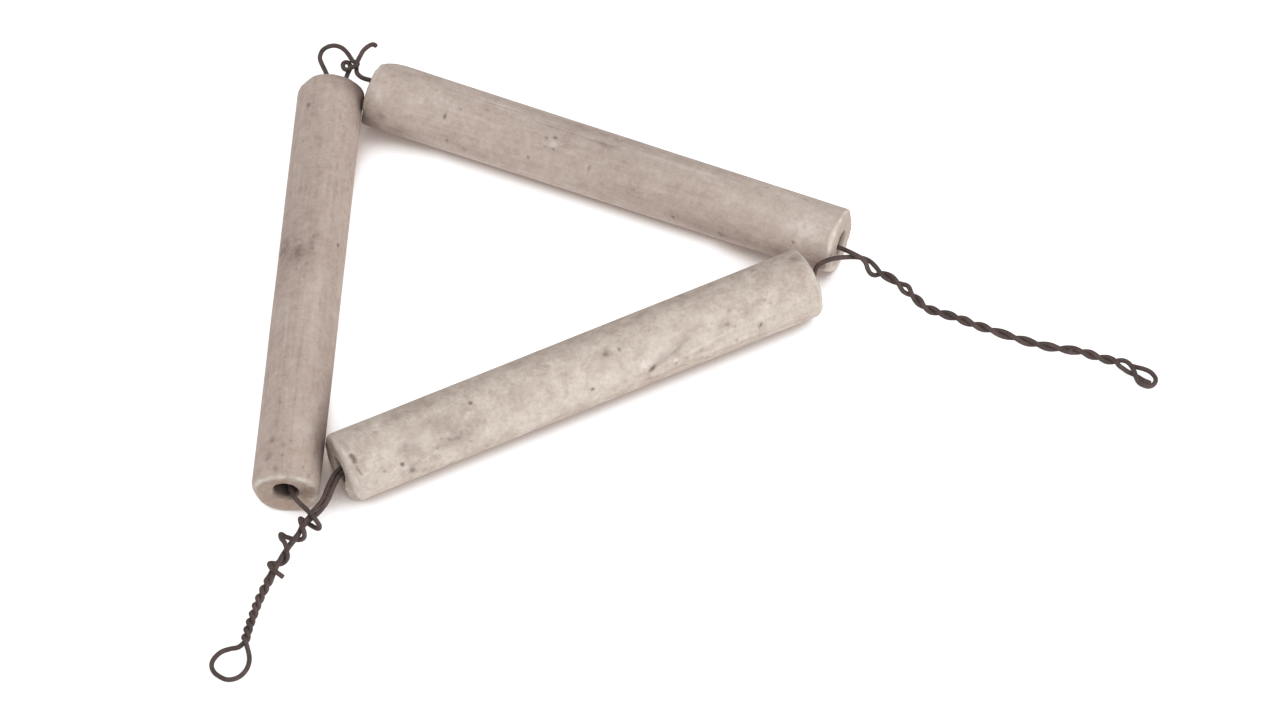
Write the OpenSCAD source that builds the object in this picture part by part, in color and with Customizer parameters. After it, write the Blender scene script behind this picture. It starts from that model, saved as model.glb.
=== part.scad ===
// Pipe clay triangle: three fired clay tubes threaded on three annealed iron
// wires. The wires are twisted together past the corners into two long tails
// that hang the triangle on an iron ring; the crucible sits in the middle.
// Millimetres, +Z up, lying flat on its tubes. Origin under the middle of the
// whole outline, on the surface it lies on.

/* [Clay tubes] */
// Bore through every tube
tube_bore = 3; // [2.6:0.1:3.2]
// Length of the left tube
left_len = 60.4; // [56:0.1:61]
// Outside diameter of the left tube
left_od = 8; // [7.6:0.05:8.1]
// Length of the top tube
top_len = 61.5; // [56:0.1:61.5]
// Outside diameter of the top tube
top_od = 8.35; // [7.8:0.05:8.6]
// Length of the lower tube
lower_len = 61.8; // [58:0.1:61.8]
// Outside diameter of the lower tube
lower_od = 8.55; // [7.8:0.05:8.7]
// Wear on the rims of the tubes
rim_wear = 0.35; // [0.3:0.05:0.6]
// Radius of the bite that left each chipped rim
chip_r = 3; // [2:0.5:4]

/* [Wire] */
// Diameter of the iron wire
wire_d = 0.55; // [0.4:0.05:0.55]
// Flats around the wire
wire_sides = 8; // [6:1:12]
// Steps along each span between two bend points
bend_steps = 4; // [3:1:6]

/* [Twists] */
// Distance of each strand from the middle of the right tail
right_pair_r = 0.29; // [0.285:0.005:0.31]
// Distance of each strand from the middle of the left tail
left_pair_r = 0.3; // [0.29:0.01:0.32]
// The same where the left tail is wound tight
tight_pair_r = 0.285; // [0.28:0.005:0.3]

/* [Hidden] */

clay = [0.80, 0.75, 0.70];
clay_warm = [0.72, 0.66, 0.61];
iron = [0.30, 0.25, 0.24];
eps = 0.01;

// middle of each tube on the surface, and the way it points
left_mid = [-45.7, 8.7];
left_turn = -93.1;
top_mid = [-10.27, 27.12];
top_turn = -22.4;
lower_mid = [-13.55, -4.53];
lower_turn = 26.7;

// ---------------------------------------------------------------- tubes

// a point near a tube: a along its axis from the middle, n across it to its
// own left, h above its axis
function by_tube(mid, turn, od, a, n = 0, h = 0) =
    [mid[0] + a * cos(turn) - n * sin(turn),
     mid[1] + a * sin(turn) + n * cos(turn),
     od / 2 + h];
function by_left(a, n = 0, h = 0) = by_tube(left_mid, left_turn, left_od, a, n, h);
function by_top(a, n = 0, h = 0) = by_tube(top_mid, top_turn, top_od, a, n, h);
function by_lower(a, n = 0, h = 0) = by_tube(lower_mid, lower_turn, lower_od, a, n, h);

// one tube, turned as a body of revolution with worn rims, then chipped:
// rims is how many times the usual wear is on the rim at each end, and each
// chip is [which end, angle round from the underside, how deep along]
module clay_tube(mid, turn, len, od, rims, chips) {
    r = od / 2;
    b = tube_bore / 2;
    w = rims[0] * rim_wear;
    v = rims[1] * rim_wear;
    translate([mid[0], mid[1], r])
    rotate([0, 0, turn])
    rotate([0, 90, 0])
    translate([0, 0, -len / 2])
    difference() {
        rotate_extrude($fn = 96)
            polygon([[b, 0], [r - w, 0], [r, w], [r, len - v], [r - v, len], [b, len]]);
        for (c = chips)
            rotate([0, 0, c[1]])
            translate([r + 0.3, 0, c[0] * len + (c[0] * 2 - 1) * (chip_r - c[2])])
                sphere(r = chip_r, $fn = 48);
    }
}

module left_tube() {
    color(clay_warm)
    clay_tube(left_mid, left_turn, left_len, left_od, [1, 2], [[1, 15, 0.5], [0, -150, 0.4]]);
}

module top_tube() {
    color(clay)
    clay_tube(top_mid, top_turn, top_len, top_od, [2, 1], [[1, -42, 0.3], [0, 160, 0.6]]);
}

module lower_tube() {
    color(clay)
    clay_tube(lower_mid, lower_turn, lower_len, lower_od, [1.5, 1], [[0, -50, 1.2], [1, 35, 0.4]]);
}

// ---------------------------------------------------------------- curves

function unit(v) = v / norm(v);
function last(v) = v[len(v) - 1];
function flip(v) = [for (i = [len(v) - 1 : -1 : 0]) v[i]];

// one point on the smooth curve through a, b, c, d, at t from b to c
function spline(a, b, c, d, t) =
    0.5 * (2 * b + (c - a) * t + (2 * a - 5 * b + 4 * c - d) * t * t
           + (3 * b - a - 3 * c + d) * t * t * t);
// key point i of a route, carried on past its ends by reflection
function key(K, i) =
    i < 0 ? 2 * K[0] - K[1]
    : i > len(K) - 1 ? 2 * last(K) - K[len(K) - 2]
    : K[i];
// the point at u along a route, where whole numbers are its key points
function along(K, u) =
    let (i = min(max(floor(u), 0), len(K) - 2))
    spline(key(K, i - 1), key(K, i), key(K, i + 1), key(K, i + 2), u - i);
// a smooth run through all key points, n steps to a span
function bends(K, n = bend_steps) =
    [for (j = [0 : 1 : (len(K) - 1) * n]) along(K, j / n)];
// the same run between two neighbours that are drawn elsewhere
function between(before, K, after) =
    let (P = bends(concat([before], K, [after])))
    [for (i = [1 : len(P) - 2]) P[i]];
function run_from(K, after) =
    let (P = bends(concat(K, [after]))) [for (i = [0 : len(P) - 2]) P[i]];
function run_to(before, K) =
    let (P = bends(concat([before], K))) [for (i = [1 : len(P) - 1]) P[i]];

// one strand of a twisted pair: it winds round the core at the distance in
// the table RT, by the half turns in the table HT, from u0 to u1 in n steps.
// k is 0 for one strand and 1 for the one opposite.
function strand(K, HT, RT, k, u0, u1, n) =
    [for (j = [0 : n])
        let (u = u0 + (u1 - u0) * j / n,
             p = along(K, u),
             t = unit(along(K, min(u + 0.02, len(K) - 1)) - along(K, max(u - 0.02, 0))),
             s = unit(cross([0, 0, 1], t)),
             b = cross(t, s),
             f = 180 * (lookup(u, HT) + k),
             r = lookup(u, RT))
        p + r * (cos(f) * s + sin(f) * b)];

// round wire swept along a path without twisting
module wire(P) {
    n = len(P);
    m = wire_sides;
    T = [for (i = [0 : n - 1]) unit(P[min(i + 1, n - 1)] - P[max(i - 1, 0)])];
    side = [for (i = 0, s = unit(cross([0, 0, 1], T[0]));
                 i < n;
                 i = i + 1, s = i < n ? unit(s - (s * T[i]) * T[i]) : s) s];
    pts = [for (i = [0 : n - 1])
        let (s = side[i], b = cross(T[i], s))
        for (q = [0 : m - 1])
            P[i] + wire_d / 2 * (cos(360 * q / m) * s + sin(360 * q / m) * b)];
    faces = concat(
        [[for (q = [0 : m - 1]) q]],
        [[for (q = [m - 1 : -1 : 0]) (n - 1) * m + q]],
        [for (i = [0 : n - 2]) for (q = [0 : m - 1])
            let (a = i * m + q, c = i * m + (q + 1) % m)
            each [[a, a + m, c], [c, a + m, c + m]]]);
    polyhedron(points = pts, faces = faces, convexity = 10);
}

// ---------------------------------------------------------------- right tail

// core of the pair: one key point at each place where the strands cross
RIGHT_CORE = [
    [22.7, 10.9, 4], [24.8, 9.4, 3.9], [26.5, 7.7, 3.7], [27.9, 6, 3.6], [29.6, 5.3, 3.4],
    [31.7, 4.7, 3.2], [33.6, 3.8, 3.1], [35.7, 3.1, 2.9], [38.5, 2, 2.8], [41.1, 1.2, 2.6],
    [43.7, 0.7, 2.4], [46.4, 0.3, 2.3], [48.4, -0.4, 2.1], [50.4, -0.9, 2]
];
right_turns = len(RIGHT_CORE) - 1;
// half a turn from each crossing to the next, and loose in the second gap
RIGHT_HALF = [[0, 1.69], [right_turns, 1.69 + right_turns]];
RIGHT_R = [[0, 0.33], [0.5, right_pair_r], [1.1, right_pair_r], [1.4, 0.42], [1.7, 0.42],
           [2, right_pair_r], [right_turns, right_pair_r]];
function right_strand(k) =
    strand(RIGHT_CORE, RIGHT_HALF, RIGHT_R, k, 0, right_turns, right_turns * 5);

// ---------------------------------------------------------------- left tail

// core of the pair, from the mouth of the lower tube down to the eye
LEFT_CORE = [
    [-41.2, -18.5, 4.1], [-42, -20.2, 3.7], [-42.8, -22.4, 3.4], [-44.2, -24.3, 3.2],
    [-45.2, -25.6, 3.1], [-45.7, -26.8, 3], [-46.6, -28.2, 2.9], [-47.4, -29.7, 2.8],
    [-48.1, -30.9, 2.6], [-48.6, -32.2, 2.5], [-49.1, -33.4, 2.4], [-49.6, -34.6, 2.3],
    [-50, -35.7, 2.2], [-50.3, -36.7, 2.1], [-50.6, -37.8, 2], [-50.9, -38.8, 1.9],
    [-51.1, -39.8, 1.8], [-51.3, -40.8, 1.7], [-51.4, -41.3, 1.6]
];
// side by side out of the bore, one above the other under the wraps, then
// from key point 10 half a turn to every key point
LEFT_HALF = [[0, 1], [2.2, 1], [3.2, 0.5], [4.2, 0.43], [7.2, 0.43], [7.9, 0.28],
             [9.1, 0.2], [9.6, 0], [10, -0.57], [18, -8.57]];
LEFT_R = [[0, left_pair_r], [9, left_pair_r], [10, tight_pair_r], [18, tight_pair_r]];
function left_strand(k, from, n) = concat(
    strand(LEFT_CORE, LEFT_HALF, LEFT_R, k, from, 9, n),
    [for (i = [1 : 48]) strand(LEFT_CORE, LEFT_HALF, LEFT_R, k, 9, 17, 48)[i]]);

// ---------------------------------------------------------------- left wire

// the cut stem and the small eye, then round in front of the top wire
KNOT = [
    [-42.3, 40.9, 4.1], [-42.2, 41.3, 4.3], [-42, 41.9, 4.4], [-41.8, 42.4, 4.5],
    [-41.9, 43, 4.6], [-42.2, 43.3, 4.6], [-42.6, 43.1, 4.7], [-42.7, 42.6, 4.8],
    [-42.5, 41.9, 5], [-42.1, 41.5, 5.3], [-41.7, 41.6, 5.5], [-41.3, 41.8, 5.6],
    [-41, 41.8, 5.6], [-40.8, 42.1, 5.7], [-41, 42.4, 5.7], [-41.4, 42.5, 5.7],
    [-41.7, 43.2, 5.5]
];
// the open ring that stands up past the corner
RING = [
    [-42.3, 44.6, 5], [-43, 45.5, 4.8], [-43.9, 45.9, 4.7], [-44.8, 45.7, 4.6],
    [-45.4, 45.1, 4.5], [-45.6, 44.1, 4.4], [-45.3, 43.2, 4.3], [-44.8, 42, 4.2],
    [-44.4, 40.9, 4.1]
];
LEFT_BORE = [by_left(-30.5, 0, 0.1), by_left(-27.2), by_left(-15.2),
             by_left(15.2), by_left(27.2, 0.3, -0.2), by_left(30, 0.8, -0.4)];
// three turns round the left tail, with two stray spurs and a cut stub
WRAP = [
    [-45.8, -22.5, 3.6], [-45.4, -23.1, 3.8], [-44.8, -23.9, 4], [-44.1, -24.8, 4.1],
    [-43.6, -25.4, 3.9], [-43.2, -25.8, 3.3], [-43.4, -25.8, 2.8], [-44.1, -25.1, 2.3],
    [-44.8, -24.3, 1.9], [-45.2, -24.1, 2.1], [-45.5, -24.5, 3], [-45.4, -25.6, 4],
    [-45.1, -26.7, 4.3], [-44.9, -27.1, 3.8], [-45, -27.1, 2.9], [-45.4, -26.7, 1.9],
    [-46, -26.6, 1.7], [-46.6, -26.6, 2], [-47.2, -26.7, 2.5], [-47.7, -26.6, 2.9],
    [-47.6, -27.5, 3.3], [-47.2, -28.4, 3.9], [-46.9, -29.2, 4], [-46.8, -29.8, 3.8],
    [-46.8, -29.8, 2.7], [-47.2, -29.8, 1.8], [-47.7, -29.9, 1.5], [-48.3, -29.8, 1.5],
    [-48.9, -30.3, 2.2], [-48.6, -31.6, 3.2], [-47.9, -32.5, 3.6], [-47.2, -32.8, 3.1]
];

module left_wire() {
    color(iron) wire(bends(concat(KNOT, RING, LEFT_BORE, WRAP)));
}

// ---------------------------------------------------------------- top wire

// hook that stands past the ring, down to the mouth of the top tube
HOOK = [
    [-38.7, 45.4, 5.2], [-39, 45.7, 5.2], [-39.6, 45.4, 5.2], [-40.2, 44.8, 5.1],
    [-40.5, 44.1, 5.1], [-40.8, 43.4, 5], [-41, 42.7, 4.9], [-41, 42, 4.8],
    [-40.9, 41.4, 4.7], [-40.4, 40.9, 4.6], [-39.9, 40.7, 4.5], [-39.3, 40.6, 4.4]
];
TOP_BORE = [by_top(-31.7, 1.25, 0.1), by_top(-30.9, 0.75, 0.1), by_top(-27.8, 0.2),
            by_top(-15.6), by_top(15.6), by_top(27.6, -0.5, 0.1), by_top(30.6, -0.95, 0.1)];
TOP_LEAD = [
    [18.4, 14.1, 4.4], [19.1, 13.3, 4.9], [19.9, 12.7, 5], [20.6, 12.3, 4.8],
    [21, 12, 4.3], [21.2, 11.5, 3.9], [21.6, 10.9, 3.7], [22.2, 10.8, 3.6]
];
// the cut end that lies inside the right eye
TOP_END = [
    [50.8, -1.5, 1.9], [51.3, -1.7, 1.6], [51.8, -2, 1.4], [52.6, -2.3, 1.2],
    [53.6, -3.1, 1.2], [54.4, -3.6, 1.3]
];

module top_wire() {
    s = right_strand(0);
    color(iron) wire(concat(
        run_from(concat(HOOK, TOP_BORE, TOP_LEAD), s[0]),
        s,
        run_to(last(s), TOP_END)));
}

// ---------------------------------------------------------------- lower wire

// eye at the end of the right tail, from its tucked tip round to the pair
RIGHT_EYE = [
    [52.3, -0.9, 1.1], [53, -1.2, 1.2], [53.8, -1.7, 1.5], [54.5, -2.3, 1.7],
    [55, -3.2, 1.8], [54.9, -4, 1.9], [54.4, -4.5, 1.9], [53.8, -4.5, 1.9],
    [53.1, -4.1, 1.9], [52.7, -3.4, 2], [52.6, -2.7, 2], [52.4, -2, 2],
    [52.1, -1.3, 1.9], [51.6, -0.8, 1.9], [50.9, -0.6, 1.8]
];
// over the rim of the top tube and down into the lower one
LOWER_LEAD = [
    [22.2, 11.6, 4.1], [21.6, 12.5, 4], [20.9, 13, 4], [20.1, 13.2, 4],
    [19.2, 13.1, 4.2], [18.1, 12.5, 4.9], [17.1, 11.7, 5.7], [16.3, 11.1, 6.1],
    [15.6, 10.8, 6], [15.1, 10.7, 5.5], [14.8, 10.4, 4.9]
];
LOWER_BORE = [by_lower(31.3, 0.1, 0.2), by_lower(27.8), by_lower(15.8),
              by_lower(-15.8), by_lower(-27.8, 0.1), by_lower(-30.2, 0.25, -0.1)];
// the cut end that is tucked back into the lower tube
BORE_END = [by_lower(-30.4, -0.45, -0.35), by_lower(-29, -0.5, -0.4)];
// teardrop eye at the end of the left tail
LEFT_EYE = [
    [-50.9, -41.9, 1.5], [-50.7, -43.1, 1.4], [-51, -44.4, 1.3], [-51.9, -45.4, 1.2],
    [-53.2, -45.7, 1.2], [-54.5, -44.9, 1.2], [-55, -43.9, 1.2], [-54.8, -42.9, 1.2],
    [-54, -42, 1.3], [-52.9, -41.6, 1.4], [-52.1, -41.5, 1.5]
];

module lower_wire() {
    s = flip(right_strand(1));
    a = left_strand(0, 0.3, 32);
    b = flip(left_strand(1, 0.3, 32));
    color(iron) wire(concat(
        run_from(RIGHT_EYE, s[0]),
        s,
        between(last(s), concat(LOWER_LEAD, LOWER_BORE), a[0]),
        a,
        between(last(a), LEFT_EYE, b[0]),
        b,
        run_to(last(b), BORE_END)));
}

left_tube();
top_tube();
lower_tube();
left_wire();
top_wire();
lower_wire();
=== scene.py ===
"""Looks of the pipe clay triangle: worn clay tubes and fire-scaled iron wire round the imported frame.

Lengths in the tables are millimetres, angles degrees. Round a tube, 90 is the top and 0 is the side to its own
left. The wires follow the same points as their CAD solids.
"""

import math

import bpy
import numpy as np
from mathutils import Matrix, Vector


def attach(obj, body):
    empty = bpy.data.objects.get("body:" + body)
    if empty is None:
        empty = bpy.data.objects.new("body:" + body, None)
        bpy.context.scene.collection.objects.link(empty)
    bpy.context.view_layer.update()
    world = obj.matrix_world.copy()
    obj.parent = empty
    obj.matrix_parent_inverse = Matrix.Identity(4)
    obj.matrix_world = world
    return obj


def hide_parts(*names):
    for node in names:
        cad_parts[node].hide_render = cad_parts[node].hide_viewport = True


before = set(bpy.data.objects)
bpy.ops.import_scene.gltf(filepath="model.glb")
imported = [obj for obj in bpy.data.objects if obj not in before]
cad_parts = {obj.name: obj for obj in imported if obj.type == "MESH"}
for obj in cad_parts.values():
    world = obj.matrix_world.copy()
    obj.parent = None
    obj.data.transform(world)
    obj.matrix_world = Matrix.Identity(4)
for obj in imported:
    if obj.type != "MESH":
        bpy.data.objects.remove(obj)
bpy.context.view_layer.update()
scene = bpy.context.scene
MM = 0.001

# ------------------------------------------------------------------ camera

CAM_AT = Vector((-6.1, -390.4, 519.1)) * MM
LOOK_AT = Vector((-6.1, 0.8, 0.0)) * MM

cam_data = bpy.data.cameras.new("camera")
cam_data.sensor_width = 36.0
cam_data.lens = 153.3
cam_data.clip_start = 0.01
cam_data.clip_end = 20.0
cam = bpy.data.objects.new("camera", cam_data)
scene.collection.objects.link(cam)
cam.location = CAM_AT
cam.rotation_mode = "QUATERNION"
cam.rotation_quaternion = (LOOK_AT - CAM_AT).to_track_quat("-Z", "Y")
scene.camera = cam

# ------------------------------------------------------------------ noise


def lattice(seed):
    return np.random.RandomState(seed).uniform(-1.0, 1.0, (32, 32, 32)).astype(np.float32)


LATTICES = [lattice(11 + k) for k in range(6)]


def noise(p, size, k=0):
    """Smooth noise from -1 to 1 at the points p, with cells of that size in mm."""
    q = p / size + 3.7 * (k + 1)
    i = np.floor(q).astype(np.int64)
    f = (q - i).astype(np.float32)
    f = f * f * (3 - 2 * f)
    g = LATTICES[k % len(LATTICES)]
    out = 0.0
    for a in (0, 1):
        wa = f[:, 0] if a else 1 - f[:, 0]
        for b in (0, 1):
            wb = f[:, 1] if b else 1 - f[:, 1]
            for c in (0, 1):
                wc = f[:, 2] if c else 1 - f[:, 2]
                out = out + wa * wb * wc * g[(i[:, 0] + a) & 31, (i[:, 1] + b) & 31, (i[:, 2] + c) & 31]
    return out


def smax(a, b, k):
    """The larger of two distances, with the edge between them rounded by about k."""
    h = np.clip(k - np.abs(a - b), 0, None) / k
    return np.maximum(a, b) + h * h * k * 0.25


def wrap(deg):
    return (deg + 180.0) % 360.0 - 180.0


def bump_at(phi, centre, half):
    """1 at an angle round the tube, easing to 0 at half to each side."""
    t = np.clip(1 - np.abs(wrap(phi - centre)) / half, 0, 1)
    return t * t * (3 - 2 * t)


# ------------------------------------------------------------------ clay tubes

BORE_R = 1.5

# wear round each rim: [end, angle, half angle, how far along, how far in]
# soft: how far the bevel is rounded into the side at each end
# dirt: how dirty each end face is
# reach: [end, angle, half angle, how much farther the rim runs out there]
# edge: how pale the worn rim is at each end
# rings: [end, out from the axis, more out at the sides, width, angle, half angle, strength], painted highlights: pale
# lines where the bevel meets the face, lit edges of the ends
# bites: [end, angle, radius of the bite, its middle past the rim, its middle out from the axis]
# swells: [end, angle, half angle, how far back from the rim, extra radius]
# stains: [end, angle, out from the axis, size, strength] on the end faces
# painted shades: [along, angle, length, width, turn, strength], smooth darker areas where a neighbouring tube shadows
# the side, and darker shading along parts of each side
# marks: [kind, along, angle, length, width, turn, strength]
# lines: [kind, width, strength, [along, angle], [along, angle], ...]
TUBES = {
    "left_tube": dict(
        piece="left_clay", body="left_roller", slot="clay_brown", mid=(-45.7, 8.7), turn=-93.1,
        length=60.4, od=8.0, ends=(8.12, 7.96), seed=1,
        base=(0.25, 0.4), soft=(0.3, 0.6), dirt=(0.8, 1.25), reach=[], edge=(0.6, 0.15),
        rings=[[1, 2.72, 0.85, 0.30, 88, 130, 1.35]],
        wear=[[1, 95, 85, 0.80, 1.05], [1, 20, 45, 0.25, 0.4], [1, 190, 40, 0.2, 0.3], [1, 238, 38, -0.15, -0.28], [0, 60, 80, 0.25, 0.2],
              [0, 150, 55, 0.45, 0.35]],
        bites=[[1, 277, 0.85, 0.2, 4.2], [1, 289, 0.8, 0.2, 4.25], [1, 303, 0.75, 0.4, 4.3],
               [0, 150, 4.0, 3.6, 4.4], [1, 12, 1.5, 1.15, 3.5], [1, 345, 1.3, 1.0, 3.3], [1, 28, 0.8, 0.45, 3.7]],
        swells=[[0, 22, 60, 2.6, 0.22]],
        stains=[[1, 2, 3.2, 1.9, 1.0], [1, 330, 3.1, 1.6, 0.8], [1, 100, 2.3, 1.4, 0.4], [1, 165, 3.0, 1.6, 0.45],
                [1, 250, 2.4, 2.0, 0.5], [1, 205, 2.6, 1.6, 0.4], [1, 282, 3.0, 2.4, 0.7],
                [1, 90, 0.0, 4.0, 0.6], [1, 95, 2.05, 0.9, 0.5],
                [1, 62, 2.1, 0.8, 0.45], [1, 125, 2.1, 0.8, 0.4], [1, 10, 3.0, 0.8, 1.3], [1, 34, 3.1, 0.6, 1.2],
                [1, 346, 3.2, 0.6, 1.0], [1, 163, 3.2, 0.6, 0.9], [1, 238, 3.0, 0.7, 0.7]],
        painted_shades=[[23.5, 0, 13.0, 3.6, 0, 0.85], [26.5, 6, 6.0, 3.2, 0, 0.35], [-30.4, 24, 4.4, 6.6, 0, 1.0],
                [-28.2, 6, 5.2, 3.8, 0, 0.9], [29.6, 95, 1.5, 8.0, 0, 0.16], [-12.0, 128, 40.0, 6.0, 0, 0.06], [-0.5, 128, 9.0, 6.0, 0, 0.12]],
        marks=[
            ["pit", -25.3, 123, 0.5, 0.45, 0, 0.8], ["pit", -4.7, 36, 0.65, 0.5, 30, 0.7],
            ["warm", -16.0, 57, 0.95, 0.3, 0, 0.65], ["warm", -13.2, 55, 0.95, 0.3, 0, 0.6],
            ["warm", -11.2, 56, 0.95, 0.28, 0, 0.6], ["warm", -7.6, 54, 0.95, 0.28, 0, 0.55],
            ["warm", -20.4, 54, 0.95, 0.28, 0, 0.5], ["warm", -23.6, 63, 0.9, 0.4, 0, 0.6],
            ["pit", -22.3, 54, 0.4, 0.3, 0, 0.35], ["pit", -17.6, 27, 0.5, 0.3, 0, 0.35],
            ["pit", -13.7, 28, 0.9, 0.4, 0, 0.3], ["pit", 29.4, 106, 0.6, 0.7, 0, 0.6],
            ["soot_and_shade", 27.4, 122, 1.2, 1.0, 0, 0.7], ["soot_and_shade", 25.4, 117, 0.9, 0.7, 0, 0.6], ["soot_and_shade", 26.2, 96, 0.8, 0.6, 0, 0.4], ["pit", 27.7, 95, 0.4, 0.4, 0, 0.5],
            ["pit", 28.8, 57, 0.4, 0.35, 0, 0.45], ["pit", 25.6, 84, 0.35, 0.35, 0, 0.45],
            ["pit", 25.5, 116, 0.35, 0.35, 0, 0.45], ["pit", 26.4, 71, 0.25, 0.25, 0, 0.4],
            ["pit", 24.2, 99, 0.25, 0.3, 0, 0.35], ["pit", 29.5, 44, 0.6, 0.5, 0, 0.5],
            ["warm", -2.3, 108, 1.2, 0.8, 10, 0.6], ["pit", -3.6, 141, 0.6, 0.5, 30, 0.5],
            ["pit", -2.8, 84, 0.5, 0.35, 0, 0.55], ["pit", -4.6, 85, 0.5, 0.35, 0, 0.45],
            ["pit", -3.7, 86, 0.35, 0.3, 0, 0.4], ["pit", -0.5, 90, 0.6, 0.35, 0, 0.35],
            ["pit", 1.5, 94, 0.6, 0.4, 0, 0.3], ["pit", 0.2, 110, 0.5, 0.4, 0, 0.3],
            ["pit", 2.2, 56, 0.35, 0.3, 0, 0.35], ["pit", -19.7, 125, 0.3, 0.3, 0, 0.35],
            ["pit", -18.4, 91, 0.35, 0.3, 0, 0.35], ["pit", 18.0, 114, 0.35, 0.3, 0, 0.35],
            ["soot_and_shade", -4.0, 128, 7.5, 5.2, 0, 0.44], ["soot_and_shade", -2.4, 108, 2.2, 1.2, 0, 0.8],
            ["soot_and_shade", -3.4, 144, 2.6, 1.8, 0, 0.65], ["soot_and_shade", -3.4, 86, 4.8, 1.0, 0, 0.42], ["soot_and_shade", -1.2, 124, 3.4, 1.0, 40, 0.3],
            ["soot_and_shade", -10.0, 88, 6.0, 0.9, 0, 0.18], ["soot_and_shade", -14.5, 100, 8.0, 1.6, 0, 0.18],
            # painted shade: the first soot mark on the next line darkens the right side where the lower tube's end
            # blocks the light
            ["soot_and_shade", 24.6, 27, 5.0, 1.6, 0, 0.5], ["soot_and_shade", -24.6, 104, 5.0, 1.6, 0, 0.16],
            ["soot_and_shade", -20.0, 95, 3.5, 1.2, 0, 0.25], ["soot_and_shade", -25.4, 120, 1.5, 0.8, 0, 0.4], ["soot_and_shade", 24.8, 104, 4.0, 2.0, 0, 0.16],
            ["warm", 27.5, 60, 3.5, 3.0, 0, 0.25], ["warm", 26.5, 112, 3.5, 3.0, 0, 0.25],
            ["pale", 19.7, 47, 2.2, 1.4, 0, 0.35], ["pale", 23.5, 67, 2.8, 2.2, 0, 0.3],
            ["pale", 2.5, 65, 1.6, 0.8, 0, 0.3], ["pale", -27.6, 67, 2.6, 2.0, 0, 0.3],
            ["pale", 5.5, 72, 9.0, 1.3, 0, 0.22],
        ],
        lines=[
            ["dark", 0.16, 0.22, [3, 112], [12, 110], [20, 111], [26, 109]],
            ["dark", 0.13, 0.18, [4, 84], [14, 86], [24, 85]],
            ["dark", 0.14, 0.2, [6, 122], [15, 120], [22, 121]],
            ["dark", 0.12, 0.15, [-24, 100], [-15, 98], [-6, 100]],
        ],
    ),
    "top_tube": dict(
        piece="top_clay", body="top_roller", slot="clay", mid=(-10.27, 27.12), turn=-22.4,
        length=61.5, od=8.35, ends=(8.48, 8.14), seed=2,
        base=(0.3, 0.35), soft=(0.45, 0.12), dirt=(1.0, 0.8), reach=[[0, 212, 42, 0.32]], edge=(1.0, 1.35), rings=[[1, 3.5, 0.0, 0.5, 228, 60, 0.75]],
        wear=[[1, 130, 85, 0.5, 0.3], [1, 215, 34, 1.4, 0.15], [1, 25, 55, 0.2, 0.55],
              [0, 100, 80, 0.35, 0.25], [0, 35, 50, 1.5, 0.35], [0, 212, 48, -0.2, -0.25]],
        bites=[[1, 232, 3.0, 2.6, 4.3], [1, 60, 1.4, 1.2, 4.3], [1, 165, 0.55, 0.3, 3.2], [0, 75, 5.0, 4.75, 4.4]],
        swells=[],
        stains=[[1, 90, 2.6, 1.6, 0.4], [1, 30, 3.0, 1.6, 0.35], [0, 170, 3.2, 2.6, 0.6]],
        painted_shades=[[-30.4, 190, 5.5, 5.0, 0, 0.75], [-27.5, 205, 8.0, 3.6, 0, 0.45], [18.5, 200, 16.0, 3.6, 0, 0.10],
                [28.6, 192, 5.0, 3.8, 0, 0.2], [0.0, 96, 26.0, 3.6, 0, 0.13]],
        marks=[
            ["pit", -20.1, 130, 0.35, 0.75, 0, 0.95], ["pit", -6.1, 106, 0.55, 0.35, 0, 0.85],
            ["pit", -7.1, 111, 0.35, 0.35, 0, 0.65], ["pit", -5.8, 126, 0.45, 0.35, 0, 0.6],
            ["pit", -6.9, 126, 0.35, 0.35, 0, 0.5], ["pit", -7.7, 124, 0.3, 0.3, 0, 0.3],
            ["pit", -18.5, 110, 0.4, 0.35, 0, 0.5], ["pit", -19.3, 171, 0.35, 0.5, 0, 0.6],
            ["pit", -8.6, 153, 0.4, 0.4, 0, 0.6], ["pit", -0.9, 138, 0.3, 1.0, 8, 0.6],
            ["soot_and_shade", 16.7, 185, 1.1, 0.9, 0, 0.9], ["warm", -17.2, 178, 1.6, 1.0, 0, 0.35], ["pit", 16.8, 190, 0.4, 0.35, 0, 0.5],
            ["pit", 10.5, 181, 0.45, 0.5, 0, 0.85], ["pit", 25.8, 152, 0.45, 0.4, 0, 0.8],
            ["pit", 20.3, 67, 0.45, 0.4, 0, 0.45], ["warm", -28.1, 89, 0.9, 0.7, 0, 0.6],
            ["warm", -28.7, 105, 0.5, 0.5, 0, 0.5], ["pit", -24.2, 147, 0.3, 0.3, 0, 0.35],
            ["pit", 25.3, 65, 0.8, 0.5, 0, 0.35], ["pit", 25.4, 112, 0.5, 0.4, 0, 0.25],
            ["pit", 22.2, 81, 0.35, 0.3, 0, 0.35], ["pit", 17.1, 74, 0.4, 0.35, 0, 0.35],
            ["pit", -15.3, 97, 0.6, 0.4, 0, 0.3], ["pit", -16.9, 179, 0.5, 0.5, 0, 0.3],
            ["pit", -22.3, 90, 0.35, 0.3, 0, 0.3], ["pit", 5.1, 150, 0.3, 0.35, 0, 0.4],
            ["pit", 1.1, 158, 0.35, 0.3, 0, 0.35], ["pit", 12.5, 140, 0.25, 0.25, 0, 0.35],
            ["soot_and_shade", -0.2, 92, 1.5, 0.8, 0, 0.7], ["soot_and_shade", 1.1, 86, 1.6, 0.8, 0, 0.4],
            ["soot_and_shade", 0.8, 70, 2.6, 0.8, 0, 0.22], ["soot_and_shade", -26.4, 76, 1.8, 1.2, 0, 0.35],
            # painted shadow: the soot marks on the next four lines, low on the near side, are shade cast by the lower
            # tube (14 to 30 along) and shade beside the left tube (-30 to -26 along)
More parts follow.
